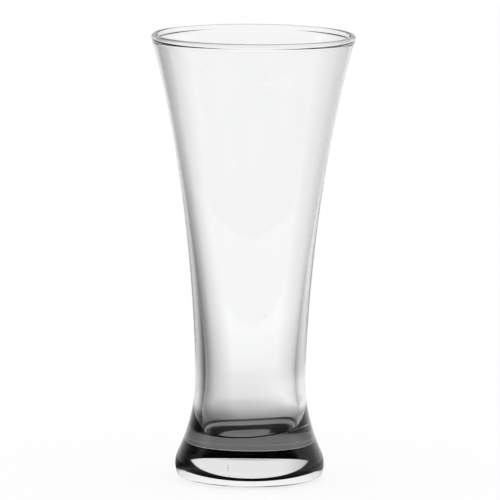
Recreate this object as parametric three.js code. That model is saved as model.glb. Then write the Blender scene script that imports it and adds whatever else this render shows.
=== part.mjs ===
// A tall flared beer glass: a thin bowl with a rounded lip, fused to a heavy solid foot.
// Both pieces are bodies of revolution about Z. The glass stands on z = 0, in millimetres.
import * as THREE from "three";

// Driving dimensions of the whole glass
const HEIGHT = 180; // table to the top of the lip
const SEAM_HEIGHT = 13.4; // table to the plane where bowl and foot are fused

// Driving dimensions of the bowl's outside
const RIM_DIAMETER = 82; // over the lip
const RIM_FLARE_ANGLE = 16; // degrees, slope of the wall from upright just under the lip
const WAIST_DIAMETER = 44.4; // narrowest place
const OUTER_WAIST_PULL = 6; // length over which the upright waist steers the outer flare
const OUTER_RIM_PULL = 62; // length over which the slope at the lip steers the outer flare

// Driving dimensions of the lip
const LIP_THICKNESS = 2.4; // rounded bead, thicker than the wall that carries it
const LIP_RUN_OUT = 2.8; // length in which the bead fades into the inside wall
const LIP_UNDERCUT_ANGLE = 32; // degrees that the bead turns back under on the inside

// Driving dimensions of the bowl's inside
const RIM_WALL = 1.2; // wall under the lip
const WAIST_WALL = 4; // wall at the waist
const INNER_WAIST_PULL = 22.5; // length over which the upright waist steers the inner flare
const INNER_RIM_PULL = 28; // length over which the slope at the lip steers the inner flare
const WELL_SPREAD = 1.6; // how far the inside widens below the waist, on each side
const FLOOR_CORNER_RADIUS = 0.5; // round between the inside wall and the floor
const FLOOR_THICKNESS = 3.8; // seam to the middle of the floor
const FLOOR_DISH = 1.4; // fall of the floor from its edge to its middle

// Driving dimensions of the foot
const FOOT_SPREAD = 7.85; // how far the foot stands out past the waist, on each side
const FOOT_FLARE_ANGLE = 23; // degrees, slope of the foot's side from upright
const SIDE_RADIUS = 10.2; // bulge of the side round its widest place
const TURN_RADIUS = 0.4; // tight turn from the bulge into the heel
const TURN_START_ANGLE = 25; // degrees below level at which the bulge ends
const TURN_END_ANGLE = 60; // degrees below level at which the heel begins
const HEEL_RADIUS = 10.6; // wide round from the tight turn to the underside
const PUNT_DIAMETER = 39.2; // hollow of the underside, within the flat ring that the glass stands on
const PUNT_DEPTH = 1.3; // rise of the hollow to its flat middle
const PUNT_EDGE_ANGLE = 24.5; // degrees, slope of the hollow where it meets the flat ring

// Facets
const TURN_STEPS = 64; // around the axis
const FLARE_STEPS = 14; // along each long flare
const ROUND_STEPS = 6; // along each large round
const SHORT_STEPS = 4; // along the floor, the hollow underside and other short stretches
const BEAD_STEPS = 3; // along each quarter of the lip
const SAME_PLACE = 0.001; // two points nearer than this are one

const CLEAR_GLASS = { color: 0xf4f7f6, roughness: 0.02, metalness: 0, transparent: true, opacity: 0.35 };

// Directions in the half profile, in radians from straight outward
const OUT = 0;
const UP = Math.PI / 2;
const IN = Math.PI;
const DOWN = -Math.PI / 2;

const footFlare = THREE.MathUtils.degToRad(FOOT_FLARE_ANGLE);
const rimFlare = THREE.MathUtils.degToRad(RIM_FLARE_ANGLE);
const lipUndercut = THREE.MathUtils.degToRad(LIP_UNDERCUT_ANGLE);
const turnStart = -THREE.MathUtils.degToRad(TURN_START_ANGLE);
const turnEnd = -THREE.MathUtils.degToRad(TURN_END_ANGLE);
const puntEdge = THREE.MathUtils.degToRad(PUNT_EDGE_ANGLE);

/** A point of a half profile: distance from the axis, then height. */
function at(radius, height) {
  return new THREE.Vector2(radius, height);
}

/** The point that lies a length away from a start, in a direction. */
function toward(start, direction, length) {
  return at(start.x + length * Math.cos(direction), start.y + length * Math.sin(direction));
}

/** Points along an arc, between two directions seen from its centre. */
function arc(centre, radius, from, to, steps) {
  const clockwise = to < from;
  return new THREE.EllipseCurve(centre.x, centre.y, radius, radius, from, to, clockwise).getPoints(steps);
}

/** Points along a smooth curve that is steered by a pull point near each of its ends. */
function sweep(start, startPull, endPull, end, steps) {
  return new THREE.CubicBezierCurve(start, startPull, endPull, end).getPoints(steps);
}

/** A solid turned from a half profile, given in stretches from the axis at the bottom round to the axis. */
function turned(name, stretches) {
  const isNew = (point, i, all) => i === 0 || point.distanceTo(all[i - 1]) > SAME_PLACE;
  const geometry = new THREE.LatheGeometry(stretches.flat().filter(isNew), TURN_STEPS);
  geometry.rotateX(Math.PI / 2);
  const mesh = new THREE.Mesh(geometry, new THREE.MeshStandardMaterial(CLEAR_GLASS));
  mesh.name = name;
  return mesh;
}

// Places that the foot and the bowl share
const waistRadius = WAIST_DIAMETER / 2;
const turnReach = SIDE_RADIUS - TURN_RADIUS;
const heelReach = TURN_RADIUS - HEEL_RADIUS;
const sideCentre = at(
  waistRadius + FOOT_SPREAD - SIDE_RADIUS,
  HEEL_RADIUS - turnReach * Math.sin(turnStart) - heelReach * Math.sin(turnEnd),
);
const sideTop = toward(sideCentre, footFlare, SIDE_RADIUS);
const sideRise = SEAM_HEIGHT - sideTop.y;
const seamEdge = at(sideTop.x - sideRise * Math.tan(footFlare), SEAM_HEIGHT);
const seamMiddle = at(0, SEAM_HEIGHT);

/** The foot: a solid block with a bulging side, a rounded heel, a flat bearing ring and a hollow under it. */
function makeFoot() {
  const turnCentre = toward(sideCentre, turnStart, turnReach);
  const heelCentre = toward(turnCentre, turnEnd, heelReach);
  const puntRound = PUNT_DEPTH / (1 - Math.cos(puntEdge));
  const puntFlat = PUNT_DIAMETER / 2 - puntRound * Math.sin(puntEdge);
  return turned("foot", [
    [at(0, PUNT_DEPTH)],
    arc(at(puntFlat, PUNT_DEPTH - puntRound), puntRound, UP, UP - puntEdge, SHORT_STEPS),
    arc(heelCentre, HEEL_RADIUS, DOWN, turnEnd, SHORT_STEPS),
    arc(turnCentre, TURN_RADIUS, turnEnd, turnStart, BEAD_STEPS),
    arc(sideCentre, SIDE_RADIUS, turnStart, OUT, BEAD_STEPS),
    arc(sideCentre, SIDE_RADIUS, OUT, footFlare, BEAD_STEPS),
    [seamEdge, seamMiddle],
  ]);
}

/** The bowl: the flared vessel, from its underside on the seam up to its lip and down again to its floor. */
function makeBowl() {
  // Outside: a round from the foot's slope to the upright waist, then the long flare up to the lip
  const skirtRadius = (seamEdge.x - waistRadius) / (1 - Math.cos(footFlare));
  const waist = at(waistRadius, SEAM_HEIGHT + skirtRadius * Math.sin(footFlare));
  const skirtCentre = toward(waist, OUT, skirtRadius);
  const lipRadius = LIP_THICKNESS / 2;
  const lipCentre = at(RIM_DIAMETER / 2 - lipRadius, HEIGHT - lipRadius);
  const lipOuter = toward(lipCentre, -rimFlare, lipRadius);
  const upWall = UP - rimFlare;
  const downWall = DOWN - rimFlare;

  // Inside: the lip's bead fades into the wall, which falls to the waist, the well and the dished floor
  const lipUnder = IN + lipUndercut;
  const lipInner = toward(lipCentre, lipUnder, lipRadius);
  const wallTop = toward(toward(lipOuter, downWall, LIP_RUN_OUT), IN - rimFlare, RIM_WALL);
  const fadePull = LIP_RUN_OUT / 3;
  const innerWaist = toward(waist, IN, WAIST_WALL);
  const floorMiddle = toward(seamMiddle, UP, FLOOR_THICKNESS);
  const cornerCentre = at(
    innerWaist.x + WELL_SPREAD - FLOOR_CORNER_RADIUS,
    floorMiddle.y + FLOOR_DISH + FLOOR_CORNER_RADIUS,
  );
  const cornerTop = toward(cornerCentre, OUT, FLOOR_CORNER_RADIUS);
  const floorEdge = toward(cornerCentre, DOWN, FLOOR_CORNER_RADIUS);
  const wellPull = (innerWaist.y - cornerTop.y) / 2;
  const dishPull = floorEdge.x / 2;

  return turned("bowl", [
    [seamMiddle, seamEdge],
    arc(skirtCentre, skirtRadius, IN + footFlare, IN, ROUND_STEPS),
    sweep(
      waist,
      toward(waist, UP, OUTER_WAIST_PULL),
      toward(lipOuter, downWall, OUTER_RIM_PULL),
      lipOuter,
      FLARE_STEPS,
    ),
    arc(lipCentre, lipRadius, -rimFlare, OUT, BEAD_STEPS),
    arc(lipCentre, lipRadius, OUT, UP, BEAD_STEPS),
    arc(lipCentre, lipRadius, UP, IN, BEAD_STEPS),
    arc(lipCentre, lipRadius, IN, lipUnder, BEAD_STEPS),
    sweep(
      lipInner,
      toward(lipInner, lipUnder + UP, fadePull),
      toward(wallTop, upWall, fadePull),
      wallTop,
      SHORT_STEPS,
    ),
    sweep(
      wallTop,
      toward(wallTop, downWall, INNER_RIM_PULL),
      toward(innerWaist, UP, INNER_WAIST_PULL),
      innerWaist,
      FLARE_STEPS,
    ),
    sweep(
      innerWaist,
      toward(innerWaist, DOWN, wellPull),
      toward(cornerTop, UP, wellPull),
      cornerTop,
      SHORT_STEPS,
    ),
    arc(cornerCentre, FLOOR_CORNER_RADIUS, OUT, DOWN, SHORT_STEPS),
    sweep(
      floorEdge,
      toward(floorEdge, IN, dishPull),
      toward(floorMiddle, OUT, dishPull),
      floorMiddle,
      SHORT_STEPS,
    ),
  ]);
}

const beerGlass = new THREE.Group();
beerGlass.name = "beer_glass";
beerGlass.add(makeFoot(), makeBowl());

export default beerGlass;
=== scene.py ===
"""A clear beer glass on a pale studio floor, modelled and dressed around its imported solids.

Lengths are in metres. The glass stands on z = 0 with its axis on Z, and the camera looks along +Y.
"""

import logging
import math
from dataclasses import dataclass, field
from enum import Enum

import bpy
from mathutils import Matrix, Vector


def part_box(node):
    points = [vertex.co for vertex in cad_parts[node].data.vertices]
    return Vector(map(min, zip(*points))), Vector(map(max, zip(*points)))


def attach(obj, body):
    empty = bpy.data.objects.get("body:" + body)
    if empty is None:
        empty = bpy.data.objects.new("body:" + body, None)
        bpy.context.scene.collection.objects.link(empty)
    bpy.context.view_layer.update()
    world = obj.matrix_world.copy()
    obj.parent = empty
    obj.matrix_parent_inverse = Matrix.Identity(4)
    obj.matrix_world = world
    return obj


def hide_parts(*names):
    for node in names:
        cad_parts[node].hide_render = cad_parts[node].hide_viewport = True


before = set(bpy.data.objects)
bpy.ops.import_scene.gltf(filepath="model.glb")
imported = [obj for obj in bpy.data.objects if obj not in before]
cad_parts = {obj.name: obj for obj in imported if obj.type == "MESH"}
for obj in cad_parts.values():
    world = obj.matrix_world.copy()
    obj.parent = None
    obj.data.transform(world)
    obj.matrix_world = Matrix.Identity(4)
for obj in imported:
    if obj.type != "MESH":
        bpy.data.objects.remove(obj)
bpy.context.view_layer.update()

LOG = logging.getLogger("beer_glass")

Point = tuple[float, float]
Span = tuple[float, float]
Edges = tuple[float, float, float, float]
Colour = tuple[float, float, float, float]

WHITE: Colour = (1.0, 1.0, 1.0, 1.0)
SAME_PLACE = 1e-9
WELD_GAP = 1e-7
SLACK = 1e-6
GLASS_BOUNCES = 32
SEAM_CROSSINGS = 64


class Way(float, Enum):
    """Directions in a half profile, in radians from straight outward."""

    OUT = 0.0
    UP = math.pi / 2
    IN = math.pi
    DOWN = -math.pi / 2


class Value:
    """One output of a shader node, with arithmetic that adds Math nodes to its tree."""

    def __init__(self, graph: "Graph", socket: bpy.types.NodeSocket) -> None:
        """Keeps the tree and the output that this value stands for."""
        self.graph = graph
        self.socket = socket

    def __add__(self, other: "Value | float") -> "Value":
        """This value plus another."""
        return self.graph.maths("ADD", self, other)

    def __sub__(self, other: "Value | float") -> "Value":
        """This value less another."""
        return self.graph.maths("SUBTRACT", self, other)

    def __rsub__(self, other: float) -> "Value":
        """A number less this value."""
        return self.graph.maths("SUBTRACT", other, self)

    def __mul__(self, other: "Value | float") -> "Value":
        """This value times another."""
        return self.graph.maths("MULTIPLY", self, other)

    __radd__ = __add__
    __rmul__ = __mul__


class Graph:
    """The node tree of a material or of the world."""

    def __init__(self, tree: bpy.types.NodeTree) -> None:
        """Starts from an empty tree."""
        self.tree = tree
        tree.nodes.clear()

    def node(
        self,
        kind: str,
        settings: dict[str, object] | None = None,
        inputs: dict[str | int, object] | None = None,
        output: str | int = 0,
    ) -> Value:
        """Adds a node.

        Args:
            kind: The node's type.
            settings: Its own properties, which are set first.
            inputs: A number, colour or Value for each socket that isn't left as it is.
            output: The output that the result stands for.

        Returns:
            That output.
        """
        made = self.tree.nodes.new(kind)
        for name, setting in (settings or {}).items():
            setattr(made, name, setting)
        for name, given in (inputs or {}).items():
            if isinstance(given, Value):
                self.tree.links.new(given.socket, made.inputs[name])
            else:
                made.inputs[name].default_value = given
        return Value(self, made.outputs[output] if made.outputs else None)

    def maths(self, operation: str, *operands: "Value | float") -> Value:
        """Adds a Math node.

        Args:
            operation: What it does with its operands.
            operands: Its numbers or Values, in order.

        Returns:
            The result.
        """
        return self.node("ShaderNodeMath", {"operation": operation}, dict(enumerate(operands)))

    def clamp(self, value: Value, low: float = 0.0, high: float = 1.0) -> Value:
        """Keeps a value between two limits.

        Args:
            value: What is limited.
            low: The least that it can be.
            high: The most that it can be.

        Returns:
            The limited value.
        """
        return self.maths("MINIMUM", self.maths("MAXIMUM", value, low), high)

    def step(self, value: Value, low: float, high: float, start: float = 0.0, end: float = 1.0) -> Value:
        """Adds a smooth step.

        Args:
            value: What the step follows.
            low: Where the step begins.
            high: Where the step ends.
            start: The result below the step.
            end: The result above the step.

        Returns:
            The stepped value.
        """
        return self.node(
            "ShaderNodeMapRange",
            {"interpolation_type": "SMOOTHSTEP"},
            {"Value": value, "From Min": low, "From Max": high, "To Min": start, "To Max": end},
        )

    def hill(self, value: Value, rise: Span, fall: Span) -> Value:
        """Adds a smooth hill.

        Args:
            value: What the hill follows.
            rise: Where its rise from 0 begins and ends.
            fall: Where its fall to 0 begins and ends.

        Returns:
            The hill's height, which is 1 between rise and fall.
        """
        return self.step(value, *rise) * self.step(value, *fall, 1.0, 0.0)

    def axis(self, vector: Value, name: str) -> Value:
        """The part of a vector along X, Y or Z."""
        return self.node("ShaderNodeSeparateXYZ", None, {0: vector}, name)

    def ray(self, fact: str) -> Value:
        """A fact about the ray that meets the surface or the world."""
        return self.node("ShaderNodeLightPath", output=fact)

    def mix_colour(self, share: Value, first: Value | Colour, second: Value | Colour) -> Value:
        """Mixes two colours.

        Args:
            share: How much of the second colour shows.
            first: The colour at share 0.
            second: The colour at share 1.

        Returns:
            The mixed colour.
        """
        # Sockets 6 and 7 and output 2 are the node's own for colours
        return self.node("ShaderNodeMix", {"data_type": "RGBA"}, {0: share, 6: first, 7: second}, 2)

    def mix_shader(self, share: Value | float, first: Value, second: Value) -> Value:
        """Adds a Mix Shader.

        Args:
            share: How much of the second shader shows.
            first: The shader at share 0.
            second: The shader at share 1.

        Returns:
            The mixed shader.
        """
        return self.node("ShaderNodeMixShader", None, {0: share, 1: first, 2: second})


def new_material(name: str) -> tuple[bpy.types.Material, Graph]:
    """Makes a material that has no nodes yet.

    Args:
        name: The material's name.

    Returns:
        The material and its tree.
    """
    made = bpy.data.materials.new(name)
    made.use_nodes = True
    return made, Graph(made.node_tree)


def away(start: Point, way: float, length: float) -> Point:
    """The point that lies a length away from a start.

    Args:
        start: Distance from the axis, and height.
        way: Direction, in radians from straight outward.
        length: How far to go.

    Returns:
        The point reached.
    """
    return start[0] + length * math.cos(way), start[1] + length * math.sin(way)


def arc(centre: Point, radius: float, start: float, end: float, steps: int) -> list[Point]:
    """Points along an arc.

    Args:
        centre: The arc's centre.
        radius: Its radius.
        start: Direction of its first point, seen from the centre.
        end: Direction of its last point.
        steps: How many straight pieces it has.

    Returns:
        The points, both ends included.
    """
    return [away(centre, start + (end - start) * i / steps, radius) for i in range(steps + 1)]


def sweep(start: Point, start_pull: Point, end_pull: Point, end: Point, steps: int) -> list[Point]:
    """Points along a smooth curve that is steered by a pull point near each end.

    Args:
        start: First point.
        start_pull: Pull point of the first end.
        end_pull: Pull point of the last end.
        end: Last point.
        steps: How many straight pieces it has.

    Returns:
        The points, both ends included.
    """
    points = []
    for i in range(steps + 1):
        t = i / steps
        shares = ((1 - t) ** 3, 3 * t * (1 - t) ** 2, 3 * t * t * (1 - t), t**3)
        corners = (start, start_pull, end_pull, end)
        points.append(tuple(sum(s * c[k] for s, c in zip(shares, corners)) for k in (0, 1)))
    return points


def line(start: Point, end: Point, steps: int) -> list[Point]:
    """Points along a straight stretch, both ends included."""
    return [tuple(a + (b - a) * i / steps for a, b in zip(start, end)) for i in range(steps + 1)]


def turned(name: str, stretches: list[list[Point]], steps: int) -> bpy.types.Object:
    """Turns a half profile about Z into a closed solid.

    Args:
        name: Name of the piece.
        stretches: The profile, from the axis at the bottom round to the axis again.
        steps: How many facets go round.

    Returns:
        The solid, with its place in its mesh.
    """
    chain: list[Point] = []
    for point in (p for stretch in stretches for p in stretch):
        if not chain or math.dist(point, chain[-1]) > SAME_PLACE:
            chain.append(point)
    # The profile grows out of a plane that is merged into its first point
    bpy.ops.object.select_all(action="DESELECT")
    bpy.ops.mesh.primitive_plane_add(size=chain[1][0], location=(chain[0][0], 0.0, chain[0][1]))
    piece = bpy.context.object
    piece.name = name
    piece.data.name = name
    bpy.ops.object.transform_apply(location=True, rotation=True, scale=True)
    bpy.ops.object.mode_set(mode="EDIT")
    bpy.ops.mesh.select_all(action="SELECT")
    bpy.ops.mesh.merge(type="CENTER")
    for (radius, height), (next_radius, next_height) in zip(chain, chain[1:]):
        move = (next_radius - radius, 0.0, next_height - height)
        bpy.ops.mesh.extrude_region_move(TRANSFORM_OT_translate={"value": move})
    bpy.ops.mesh.select_all(action="SELECT")
    bpy.ops.mesh.spin(steps=steps, angle=math.tau, center=(0, 0, 0), axis=(0, 0, 1))
    bpy.ops.mesh.select_all(action="SELECT")
    bpy.ops.mesh.remove_doubles(threshold=WELD_GAP)
    bpy.ops.mesh.normals_make_consistent(inside=False)
    bpy.ops.object.mode_set(mode="OBJECT")
    return piece


@dataclass(frozen=True)
class ClearGlass:
    """Fire-polished soda-lime glass, with the faint traces of its making and its use.

    Attributes:
        refraction: How strongly the glass bends light.
        tint: Colour of the plain glass.
        cord_tint: Colour of the glass in a streak of the melt.
        cord_scale: How close together the streaks lie.
        cord_stretch: Scale of the streaks upwards, as a share of their scale across.
        cord_detail: How much finer structure the streaks have.
        cord_edges: Levels of the noise at which a streak begins and is full.
        ripple_depth: How far a full streak stands out of the surface.
        scuff: Roughness of fully worn glass.
        scuff_scale: How fine the wear is.
        scuff_height: How far up from the table the wear reaches.
        scuff_edges: Levels of the noise at which the wear begins and is full.
        seed_tint: Colour of a seed or speck.
        seed_core: Share of a seed's radius within which it is full.
        seeds: Place and radius of each seed or speck.
    """

    refraction: float = 1.52
    tint: Colour = (0.987, 0.991, 0.989, 1.0)
    cord_tint: Colour = (0.98, 0.987, 0.984, 1.0)
    cord_scale: float = 260.0
    cord_stretch: float = 0.04
    cord_detail: float = 1.0
    cord_edges: Span = (0.3, 0.7)
    ripple_depth: float = 1.2e-6
    scuff: float = 0.05
    scuff_scale: float = 2400.0
    scuff_height: float = 0.0001
    scuff_edges: Span = (0.45, 0.65)
    seed_tint: Colour = (0.12, 0.12, 0.12, 1.0)
    seed_core: float = 0.5
    seeds: tuple[tuple[float, float, float, float], ...] = (
        (0.00547, -0.02286, 0.06949, 0.0003),
        (-0.01893, -0.01204, 0.03497, 0.0004),
        (-0.00858, -0.02807, 0.00961, 0.0003),
        (-0.00857, -0.02841, 0.00865, 0.0004),
        (-0.00856, -0.02864, 0.00768, 0.0003),
        (-0.00814, -0.02892, 0.00571, 0.0003),
    )

    def cords(self, graph: Graph, place: Value) -> Value:
        """Upright streaks that the melt leaves in the wall.

        Args:
            graph: The tree to add to.
            place: Where the surface is.

        Returns:
            How strong the streak is, from 0 to 1.
        """
        stretch = (1.0, 1.0, self.cord_stretch)
        drawn = graph.node("ShaderNodeVectorMath", {"operation": "MULTIPLY"}, {0: place, 1: stretch})
        streak = graph.node(
            "ShaderNodeTexNoise",
            None,
            {"Vector": drawn, "Scale": self.cord_scale, "Detail": self.cord_detail},
        )
        return graph.step(streak, *self.cord_edges)

    def scuffs(self, graph: Graph, place: Value) -> Value:
        """Wear on the ring that the glass stands on.

        Args:
            graph: The tree to add to.
            place: Where the surface is.

        Returns:
            The roughness of the surface.
        """
        standing = graph.step(graph.axis(place, "Z"), 0.0, self.scuff_height, self.scuff, 0.0)
        wear = graph.node("ShaderNodeTexNoise", None, {"Vector": place, "Scale": self.scuff_scale})
        return standing * graph.step(wear, *self.scuff_edges)

    def seeded(self, graph: Graph, place: Value) -> Value:
        """Small seeds and specks at their places in the wall.

        Args:
            graph: The tree to add to.
            place: Where the surface is.

        Returns:
            1 on a seed and 0 beside it.
        """
        marks: Value | float = 0.0
        for x, y, z, radius in self.seeds:
            ends = {0: place, 1: (x, y, z)}
            gap = graph.node("ShaderNodeVectorMath", {"operation": "DISTANCE"}, ends, "Value")
            mark = graph.step(gap, radius * self.seed_core, radius, 1.0, 0.0)
            marks = graph.maths("MAXIMUM", marks, mark)
        return marks

    def material(self) -> bpy.types.Material:
        """Makes the material.

        Returns:
            The glass that both pieces are made of.
        """
        made, graph = new_material("clear_glass")
        place = graph.node("ShaderNodeTexCoord", output="Object")
        cords = self.cords(graph, place)
        streaked = graph.mix_colour(cords, self.tint, self.cord_tint)
        ripple = graph.node("ShaderNodeBump", None, {"Distance": self.ripple_depth, "Height": cords})
        glass = graph.node(
            "ShaderNodeBsdfPrincipled",
            None,
            {
                "Base Color": graph.mix_colour(self.seeded(graph, place), streaked, self.seed_tint),
                "Roughness": self.scuffs(graph, place),
                "IOR": self.refraction,
                "Transmission Weight": 1.0,
                "Normal": ripple,
            },
        )
        graph.node("ShaderNodeOutputMaterial", None, {"Surface": glass})
        return made


@dataclass(frozen=True)
class FusedSeam:
    """The plane where foot and bowl are melted into one, which light crosses unbent."""

    def material(self) -> bpy.types.Material:
        """Makes the material.

        Returns:
            The clear finish of both faces on the seam.
        """
        made, graph = new_material("fused_seam")
        clear = graph.node("ShaderNodeBsdfTransparent")
        graph.node("ShaderNodeOutputMaterial", None, {"Surface": clear})
        return made


@dataclass
class BeerGlass:
    """The whole glass: a flared bowl fused to a heavy foot.

    Attributes:
        waist_radius: Outside of the bowl at its narrowest place.
        side_radius: Bulge of the foot's side round its widest place.
        turn_radius: Tight turn from the bulge into the heel.
        turn_start: Direction at which the bulge ends and the tight turn begins.
        turn_end: Direction at which the tight turn ends and the heel begins.
        heel_radius: Wide round from the tight turn to the underside.
        foot_flare: Slope of the foot's side from upright.
        punt_radius: Edge of the hollow under the foot.
        punt_depth: Rise of the hollow to its flat middle.
        punt_edge: Slope of the hollow where it meets the ring that the glass stands on.
        rim_flare: Slope of the wall from upright just under the lip.
        outer_waist_pull: Length over which the upright waist steers the outer flare.
        outer_rim_pull: Length over which the slope at the lip steers the outer flare.
        lip_thickness: Rounded bead, thicker than the wall that carries it.
        lip_run_out: Length in which the bead fades into the inside wall.
        lip_undercut: Angle that the bead turns back under on the inside.
        rim_wall: Wall under the lip.
        waist_wall: Wall at the waist.
        inner_waist_pull: Length over which the upright waist steers the inner flare.
        inner_rim_pull: Length over which the slope at the lip steers the inner flare.
        well_spread: How far the inside widens below the waist, on each side.
        floor_corner_radius: Round between the inside wall and the floor.
        floor_thickness: Seam to the middle of the floor.
        floor_dish: Fall of the floor from its edge to its middle.
        floor_lift: How far the floor's right end is raised.
        lift_share: Share of the floor's radius beyond which the lift is full.
        floor_lean: Angle that the floor is tipped about X.
        settle_reach: Distance over which lift and lean fade out.
        turn_steps: Facets round the axis.
        flare_steps: Facets along each long flare.
        round_steps: Facets along each large round.
        short_steps: Facets along each short stretch.
        flat_steps: Facets along each straight stretch.
        smooth_angle: Edges flatter than this are shaded smooth.
        glass: Finish of both pieces.
        seam: Finish of the two faces where they meet.
    """

    waist_radius: float = 0.0222
    side_radius: float = 0.0102
    turn_radius: float = 0.0004
    turn_start: float = math.radians(-25.0)
    turn_end: float = math.radians(-60.0)
    heel_radius: float = 0.0106
    foot_flare: float = math.radians(23.0)
    punt_radius: float = 0.0196
    punt_depth: float = 0.0013
    punt_edge: float = math.radians(24.5)
    rim_flare: float = math.radians(16.0)
    outer_waist_pull: float = 0.006
    outer_rim_pull: float = 0.062
    lip_thickness: float = 0.0024
    lip_run_out: float = 0.0028
    lip_undercut: float = math.radians(32.0)
    rim_wall: float = 0.0012
    waist_wall: float = 0.004
    inner_waist_pull: float = 0.0225
    inner_rim_pull: float = 0.028
    well_spread: float = 0.0016
    floor_corner_radius: float = 0.0015
    floor_thickness: float = 0.0032
    floor_dish: float = 0.0014
    floor_lift: float = 0.0026
    lift_share: float = 0.96
    floor_lean: float = math.radians(1.2)
    settle_reach: float = 0.032
    turn_steps: int = 256
    flare_steps: int = 56
    round_steps: int = 40
    short_steps: int = 16
    flat_steps: int = 8
    smooth_angle: float = math.radians(40.0)
    glass: ClearGlass = field(default_factory=ClearGlass)
    seam: FusedSeam = field(default_factory=FusedSeam)

    def __post_init__(self) -> None:
        """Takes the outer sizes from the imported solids, and places what foot and bowl share."""
        _, foot_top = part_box("foot")
        _, bowl_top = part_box("bowl")
        self.seam_height = foot_top.z
        self.height = bowl_top.z
        self.rim_radius = bowl_top.x
        self.turn_reach = self.side_radius - self.turn_radius
        self.heel_reach = self.turn_radius - self.heel_radius
        drop = self.turn_reach * math.sin(self.turn_start) + self.heel_reach * math.sin(self.turn_end)
        self.side_centre = (foot_top.x - self.side_radius, self.heel_radius - drop)
        self.side_top = away(self.side_centre, self.foot_flare, self.side_radius)
        rise = self.seam_height - self.side_top[1]
        self.seam_edge = (self.side_top[0] - rise * math.tan(self.foot_flare), self.seam_height)
        self.seam_middle = (0.0, self.seam_height)

    def build_foot(self) -> bpy.types.Object:
        """Models the foot.

        Returns:
            The foot's mesh object.
        """
        turn_centre = away(self.side_centre, self.turn_start, self.turn_reach)
        heel_centre = away(turn_centre, self.turn_end, self.heel_reach)
        punt_round = self.punt_depth / (1 - math.cos(self.punt_edge))
        punt_flat = self.punt_radius - punt_round * math.sin(self.punt_edge)
        punt_centre = (punt_flat, self.punt_depth - punt_round)
        return turned(
            "foot_glass",
            [
                line((0.0, self.punt_depth), (punt_flat, self.punt_depth), self.flat_steps),
                arc(punt_centre, punt_round, Way.UP, Way.UP - self.punt_edge, self.short_steps),
                arc(heel_centre, self.heel_radius, Way.DOWN, self.turn_end, self.round_steps),
                arc(turn_centre, self.turn_radius, self.turn_end, self.turn_start, self.short_steps),
                arc(self.side_centre, self.side_radius, self.turn_start, self.foot_flare, self.round_steps),
                line(self.side_top, self.seam_edge, self.flat_steps),
                line(self.seam_edge, self.seam_middle, self.flat_steps),
            ],
            self.turn_steps,
        )

    def build_bowl(self) -> bpy.types.Object:
        """Models the bowl.

        Returns:
            The bowl's mesh object.
        """
        # Outside: a round from the foot's slope to the upright waist, then the long flare up to the lip
        skirt_radius = (self.seam_edge[0] - self.waist_radius) / (1 - math.cos(self.foot_flare))
        waist = (self.waist_radius, self.seam_height + skirt_radius * math.sin(self.foot_flare))
        skirt_centre = away(waist, Way.OUT, skirt_radius)
        bead = self.lip_thickness / 2
        bead_centre = (self.rim_radius - bead, self.height - bead)
        lip_outer = away(bead_centre, -self.rim_flare, bead)
        up_wall = Way.UP - self.rim_flare
        down_wall = Way.DOWN - self.rim_flare

        # Inside: the lip's bead fades into the wall, which falls to the waist, the well and the dished floor
        lip_under = Way.IN + self.lip_undercut
        lip_inner = away(bead_centre, lip_under, bead)
        fade_start = away(lip_outer, down_wall, self.lip_run_out)
        wall_top = away(fade_start, Way.IN - self.rim_flare, self.rim_wall)
        fade_pull = self.lip_run_out / 3
        inner_waist = away(waist, Way.IN, self.waist_wall)
        floor_middle = away(self.seam_middle, Way.UP, self.floor_thickness)
        corner_centre = (
            inner_waist[0] + self.well_spread - self.floor_corner_radius,
            floor_middle[1] + self.floor_dish + self.floor_corner_radius,
        )
        corner_top = away(corner_centre, Way.OUT, self.floor_corner_radius)
        floor_edge = away(corner_centre, Way.DOWN, self.floor_corner_radius)
        well_pull = (inner_waist[1] - corner_top[1]) / 2
        dish_pull = floor_edge[0] / 2

        bowl = turned(
            "bowl_glass",
            [
                line(self.seam_middle, self.seam_edge, self.flat_steps),
                arc(skirt_centre, skirt_radius, Way.IN + self.foot_flare, Way.IN, self.round_steps),
                sweep(
                    waist,
                    away(waist, Way.UP, self.outer_waist_pull),
                    away(lip_outer, down_wall, self.outer_rim_pull),
                    lip_outer,
                    self.flare_steps,
                ),
                arc(bead_centre, bead, -self.rim_flare, lip_under, self.round_steps),
                sweep(
                    lip_inner,
                    away(lip_inner, lip_under + Way.UP, fade_pull),
                    away(wall_top, up_wall, fade_pull),
                    wall_top,
                    self.short_steps,
                ),
                sweep(
                    wall_top,
                    away(wall_top, down_wall, self.inner_rim_pull),
                    away(inner_waist, Way.UP, self.inner_waist_pull),
                    inner_waist,
                    self.flare_steps,
                ),
                sweep(
                    inner_waist,
                    away(inner_waist, Way.DOWN, well_pull),
                    away(corner_top, Way.UP, well_pull),
                    corner_top,
                    self.short_steps,
                ),
                arc(corner_centre, self.floor_corner_radius, Way.OUT, Way.DOWN, self.round_steps),
                sweep(
                    floor_edge,
                    away(floor_edge, Way.IN, dish_pull),
                    away(floor_middle, Way.OUT, dish_pull),
                    floor_middle,
                    self.short_steps,
                ),
            ],
            self.turn_steps,
        )
        self.settle_floor(bowl, corner_top)
        return bowl

    def pick_floor(self, bowl: bpy.types.Object, radius: float, top: float, leftmost: float) -> None:
        """Selects the part of the floor that lies right of a place, and opens the mesh.

        Args:
            bowl: The modelled bowl.
            radius: How far the floor reaches from the axis.
            top: How high the floor reaches.
            leftmost: The place along X.
        """
        bpy.ops.object.mode_set(mode="EDIT")
        bpy.ops.mesh.select_all(action="DESELECT")
        bpy.ops.object.mode_set(mode="OBJECT")
        for vertex in bowl.data.vertices:
            x, y, z = vertex.co
            within = math.hypot(x, y) < radius + SLACK and x > leftmost
            vertex.select = within and self.seam_height + SLACK < z < top + SLACK
        bpy.ops.object.mode_set(mode="EDIT")

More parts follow.
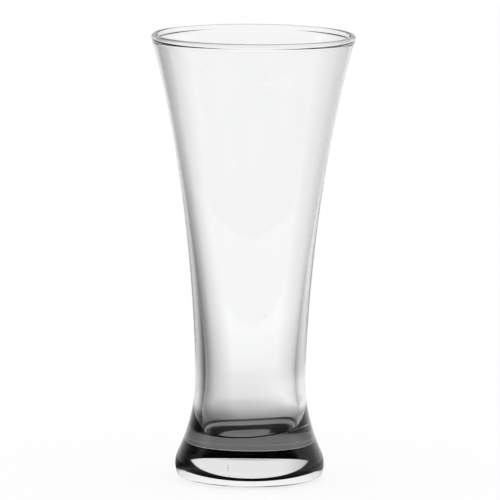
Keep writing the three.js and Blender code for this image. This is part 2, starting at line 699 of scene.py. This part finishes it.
    def settle_floor(self, bowl: bpy.types.Object, corner_top: Point) -> None:
        """Raises the floor on the right and tips it about X, as the blown glass settled.

        Args:
            bowl: The modelled bowl.
            corner_top: Where the inside wall meets the floor's round corner.
        """
        radius, height = corner_top
        fading = {
            "use_proportional_edit": True,
            "use_proportional_connected": True,
            "proportional_edit_falloff": "SMOOTH",
            "proportional_size": self.settle_reach,
        }
        self.pick_floor(bowl, radius, height, radius * self.lift_share)
        bpy.ops.transform.translate(value=(0.0, 0.0, self.floor_lift), **fading)
        bpy.ops.object.mode_set(mode="OBJECT")
        self.pick_floor(bowl, radius, height + self.floor_lift, -radius - SLACK)
        bpy.ops.transform.rotate(
            value=self.floor_lean,
            orient_axis="X",
            orient_type="GLOBAL",
            center_override=(0.0, 0.0, height),
            **fading,
        )
        bpy.ops.mesh.select_all(action="SELECT")
        bpy.ops.object.mode_set(mode="OBJECT")

    def dress(self, piece: bpy.types.Object, node: str) -> None:
        """Gives a piece its finish and sets it in the frame.

        Args:
            piece: The modelled piece.
            node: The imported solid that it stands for.
        """
        piece.data.materials.append(self.glass.material())
        piece.data.materials.append(self.seam.material())
        for face in piece.data.polygons:
            on_seam = abs(face.center.z - self.seam_height) < SLACK
            face.material_index = 1 if on_seam else 0
        bpy.ops.object.select_all(action="DESELECT")
        piece.select_set(True)
        bpy.context.view_layer.objects.active = piece
        bpy.ops.object.shade_smooth_by_angle(angle=self.smooth_angle)
        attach(piece, "root")
        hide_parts(node)
        LOG.info("%s: %d faces", piece.name, len(piece.data.polygons))


@dataclass
class Studio:
    """The pale floor and the surround, white to the camera and with other tones to the glass; on the floor
    these are painted shade round and under the foot and painted patches of light.

    To the glass, the surround is a white band under a dark ceiling. In reflections it also has a card on the
    left and on the right, a dark front and a faint strip of light. Headings are angles from straight back
    towards the right. A card's four headings, in degrees, say where it begins, is full, is full no more and
    ends. A pair says where a change begins and ends.

    Attributes:
        floor_size: Side of the floor.
        floor_gap: How far the floor lies under the glass.
        shadow_share: Share of the floor's white that takes shadow.
        near_tone: Tone of the painted shadow on the floor near the foot.
        near_reach: Distance from the axis at which the floor's painted shadow begins to pale.
        paling: How much paler the painted shadow on the floor is where it is e times as far away.
        under_tone: Tone of the painted shade on the floor under the foot.
        under_reach: Distances between which the floor under the foot passes into the open floor.
        ring_start: Inner edge of a painted black contact-shadow ring under the foot.
        ring_end: Outer edge of that ring.
        glint_tone: Tone of the painted patches of light on the floor in reflections.
        glint_start: Near edge of the patch behind the glass.
        glint_end: Far edge of that patch.
        glint_sides: Headings of that patch.
        contact_start: Inner edge of the painted bright ring of light that the outside of the glass reflects.
        contact_end: Outer edge of that ring.
        ceiling_start: Rise above level at which the white band begins to end.
        ceiling_end: Rise at which the ceiling is fully dark.
        left_card: Headings of the card on the left.
        left_tone: Tone of that card.
        right_card: Headings of the card on the right.
        right_tone: Tone of that card.
        left_shade_edge: How far left of straight back the open floor begins to dim.
        left_shade_fade: Angle over which it dims.
        left_shade_tone: Share of its tone that it dims to.
        left_shade_end: Headings between which it is plain again on the far left.
        deep_tone: Share of a tone that is left after a second reflection.
        wall_passes: Crossings of the surface by a ray that goes into the glass and out again once.
        well_shade: Headings that are dark to reflections from within the well.
        lamp: Headings of the strip of light.
        lamp_rise: Rises between which the strip begins.
        behind: Parts of a direction along Y between which the front passes into the back.
        front_fade: Rises between which the front darkens to black.
        front_tone: Tone of the front.
        back_tone: Tone of the back in reflections.
    """

    floor_size: float = 12.0
    floor_gap: float = 0.0002
    shadow_share: float = 0.15
    near_tone: float = 0.155
    near_reach: float = 0.046
    paling: float = 0.46
    under_tone: float = 0.26
    under_reach: Span = (0.028, 0.044)
    ring_start: Span = (0.012, 0.0155)
    ring_end: Span = (0.0225, 0.026)
    glint_tone: float = 0.8
    glint_start: Span = (0.027, 0.032)
    glint_end: Span = (0.07, 0.12)
    glint_sides: Edges = (-110.0, -90.0, 90.0, 110.0)
    contact_start: Span = (0.018, 0.024)
    contact_end: Span = (0.028, 0.032)
    ceiling_start: float = math.radians(21.0)
    ceiling_end: float = math.radians(25.0)
    left_card: Edges = (-112.0, -69.0, -65.0, -15.0)
    left_tone: float = 0.08
    right_card: Edges = (30.0, 62.0, 80.0, 128.0)
    right_tone: float = 0.56
    left_shade_edge: float = math.radians(5.0)
    left_shade_fade: float = math.radians(14.0)
    left_shade_tone: float = 0.33
    left_shade_end: Span = (math.radians(-42.0), math.radians(-26.0))
    deep_tone: float = 0.03
    wall_passes: float = 2.0
    well_shade: Edges = (-60.0, -45.0, 45.0, 60.0)
    lamp: Edges = (130.0, 135.0, 145.0, 150.0)
    lamp_rise: Span = (math.radians(4.0), math.radians(12.0))
    behind: Span = (-0.3, 0.0)
    front_fade: Span = (math.radians(15.0), math.radians(50.0))
    front_tone: float = 0.06
    back_tone: float = 0.86

    def heading(self, graph: Graph, place: Value) -> Value:
        """The angle of a place or direction from straight back towards the right, in radians."""
        return graph.maths("ARCTAN2", graph.axis(place, "X"), graph.axis(place, "Y"))

    def card(self, graph: Graph, turn: Value, edges: Edges, tone: float) -> Value:
        """Darkens a stretch of the surround.

        Args:
            graph: The tree to add to.
            turn: The heading that the stretch is measured on, in radians.
            edges: Where the card begins, is full, is full no more and ends, in degrees.
            tone: How bright the card is where it is full.

        Returns:
            The card's tone, which is 1 beside it.
        """
        begin, full, full_end, ending = (math.radians(edge) for edge in edges)
        first_side = graph.step(turn, begin, full, 1.0, tone)
        last_side = graph.step(turn, full_end, ending, tone, 1.0)
        return graph.maths("MAXIMUM", first_side, last_side)

    def sides(self, graph: Graph, turn: Value) -> Value:
        """The tone of the cards on the left and right.

        Args:
            graph: The tree to add to.
            turn: The heading, in radians.

        Returns:
            The tone of both together.
        """
        left = self.card(graph, turn, self.left_card, self.left_tone)
        return left * self.card(graph, turn, self.right_card, self.right_tone)

    def by_path(self, graph: Graph, turn: Value, straight: Value, mirrored: Value) -> Value:
        """Chooses a tone by the way that a ray has come.

        Args:
            graph: The tree to add to.
            turn: The heading, in radians.
            straight: The tone for a ray that only went through glass.
            mirrored: The tone for a ray that was reflected, which a second reflection or the well dims.

        Returns:
            The tone that the ray meets.
        """
        bounces = graph.ray("Glossy Depth")
        once = graph.clamp(bounces)
        again = graph.clamp(bounces - 1.0)
        inside = graph.clamp(graph.ray("Transmission Depth") - self.wall_passes)
        mirrored = mirrored * (1.0 - again * (1.0 - self.deep_tone))
        mirrored = mirrored * (1.0 - inside * (1.0 - self.card(graph, turn, self.well_shade, 0.0)))
        return straight * (1.0 - once) + mirrored * once

    def painted_left_shade(self, graph: Graph, turn: Value) -> Value:
        """Paints shade that dims the open floor to the left of straight back.

        Args:
            graph: The tree to add to.
            turn: The heading, in radians.

        Returns:
            The share of the floor's tone that is left.
        """
        past_edge = graph.maths("MINIMUM", turn + self.left_shade_edge, 0.0)
        plain = graph.maths("EXPONENT", past_edge * (1.0 / self.left_shade_fade))
        return 1.0 - (1.0 - plain) * (1.0 - self.left_shade_tone) * graph.step(turn, *self.left_shade_end)

    def floor_tone(self, graph: Graph) -> Value:
        """How bright the floor is to the glass: painted shadow that is dim round the foot and paler with
        every step away, and painted patches of light in reflections.

        Args:
            graph: The floor's tree.

        Returns:
            The tone that a ray from the glass meets.
        """
        place = graph.node("ShaderNodeTexCoord", output="Object")
        reach = graph.node("ShaderNodeVectorMath", {"operation": "LENGTH"}, {0: place}, "Value")
        turn = self.heading(graph, place)
        # Painted shadow on the floor: dim near the foot, paler farther away
        farness = graph.maths("LOGARITHM", reach * (1.0 / self.near_reach), math.e)
        plain = graph.clamp(farness * self.paling + self.near_tone, self.near_tone)
        open_floor = graph.step(reach, *self.under_reach)

        # Through the glass: the open floor with its painted shadow, and painted shade under the foot with a
        # painted black contact-shadow ring
        under = graph.step(reach, *self.under_reach, self.under_tone, 0.0)
        ring = graph.hill(reach, self.ring_start, self.ring_end)
        outer = plain * self.painted_left_shade(graph, turn) * open_floor
        straight = graph.maths("MAXIMUM", outer, under * (1.0 - ring))

        # In reflections: the open floor with its painted shadow and the cards' tones, a painted pool of
        # light behind and a painted bright ring of light close to the foot
        glint = graph.hill(reach, self.glint_start, self.glint_end)
        glint = glint * (1.0 - self.card(graph, turn, self.glint_sides, 0.0)) * self.glint_tone
        mirrored = graph.maths("MAXIMUM", plain * open_floor, glint) * self.sides(graph, turn)
        outside = 1.0 - graph.clamp(graph.ray("Transmission Depth"))
        contact = graph.hill(reach, self.contact_start, self.contact_end)
        mirrored = graph.maths("MAXIMUM", mirrored, contact * outside * self.glint_tone)
        return self.by_path(graph, turn, straight, mirrored)

    def build_floor(self) -> None:
        """Models the floor and gives it its finish."""
        bpy.ops.object.select_all(action="DESELECT")
        bpy.ops.mesh.primitive_plane_add(size=self.floor_size, location=(0.0, 0.0, -self.floor_gap))
        floor = bpy.context.object
        floor.name = "floor"
        made, graph = new_material("pale_floor")
        # To rays from the glass the floor glows with its painted shade and painted light
        through_glass = graph.node("ShaderNodeEmission", None, {"Color": self.floor_tone(graph)})
        glow = graph.node("ShaderNodeEmission", None, {"Color": WHITE})
        matt = graph.node("ShaderNodeBsdfDiffuse", None, {"Color": WHITE})
        plain = graph.mix_shader(self.shadow_share, glow, matt)
        shown = graph.mix_shader(graph.ray("Is Camera Ray"), through_glass, plain)
        graph.node("ShaderNodeOutputMaterial", None, {"Surface": shown})
        floor.data.materials.append(made)

    def build_surround(self) -> None:
        """Makes the world: white to the camera, and a white band under a dark ceiling to the glass."""
        world = bpy.data.worlds.new("surround")
        bpy.context.scene.world = world
        world.use_nodes = True
        graph = Graph(world.node_tree)
        way = graph.node("ShaderNodeTexCoord", output="Generated")
        turn = self.heading(graph, way)
        lift = graph.maths("ARCSINE", graph.axis(way, "Z"))
        band = graph.step(lift, self.ceiling_start, self.ceiling_end, 1.0, 0.0)
        behind = graph.step(graph.axis(way, "Y"), *self.behind)
        fade = graph.step(lift, *self.front_fade, 1.0, 0.0)
        strip = (1.0 - self.card(graph, turn, self.lamp, 0.0)) * graph.step(lift, *self.lamp_rise)
        level = band * behind * self.back_tone + fade * (1.0 - behind) * self.front_tone
        tone = self.by_path(graph, turn, band, (self.sides(graph, turn) + strip) * level)
        white = graph.maths("MAXIMUM", graph.ray("Is Camera Ray"), graph.ray("Is Diffuse Ray"))
        shown = graph.maths("MAXIMUM", tone, white)
        light = graph.node("ShaderNodeBackground", None, {"Color": shown, "Strength": 1.0})
        graph.node("ShaderNodeOutputWorld", None, {"Surface": light})


@dataclass
class PhotoCamera:
    """The camera at the place that the photograph was taken from.

    Attributes:
        distance: How far the eye is in front of the glass.
        eye_height: Height of the eye above the table.
        aim_height: Height of the place that it looks at.
        aim_side: Place along X that it looks at.
        roll: Turn about the line of sight, in radians.
        focal_length: In millimetres.
        sensor: Width of the picture in the camera, in millimetres.
        nearest: Nothing closer than this is seen.
        farthest: Nothing farther than this is seen.
    """

    distance: float = 2.3
    eye_height: float = 0.4192
    aim_height: float = 0.09267
    aim_side: float = -0.0006
    roll: float = 0.0093
    focal_length: float = 415.7
    sensor: float = 36.0
    nearest: float = 0.1
    farthest: float = 100.0

    def build(self) -> None:
        """Adds the camera and makes it the scene's own."""
        lens = bpy.data.cameras.new("photo_camera")
        lens.lens = self.focal_length
        lens.sensor_width = self.sensor
        lens.clip_start = self.nearest
        lens.clip_end = self.farthest
        camera = bpy.data.objects.new("photo_camera", lens)
        bpy.context.scene.collection.objects.link(camera)
        eye = Vector((0.0, -self.distance, self.eye_height))
        aim = Vector((self.aim_side, 0.0, self.aim_height))
        turn = (aim - eye).to_track_quat("-Z", "Y").to_matrix().to_4x4()
        camera.matrix_world = Matrix.Translation(eye) @ turn @ Matrix.Rotation(self.roll, 4, "Z")
        bpy.context.scene.camera = camera


def main() -> None:
    """Builds the camera, the studio and the glass."""
    logging.basicConfig(level=logging.INFO, format="%(name)s: %(message)s")
    scene = bpy.context.scene
    scene.view_settings.view_transform = "Standard"
    scene.cycles.max_bounces = GLASS_BOUNCES
    scene.cycles.transmission_bounces = GLASS_BOUNCES
    scene.cycles.glossy_bounces = GLASS_BOUNCES
    scene.cycles.transparent_max_bounces = SEAM_CROSSINGS
    PhotoCamera().build()
    studio = Studio()
    studio.build_floor()
    studio.build_surround()
    glass = BeerGlass()
    glass.dress(glass.build_foot(), "foot")
    glass.dress(glass.build_bowl(), "bowl")


if __name__ == "__main__":
    main()
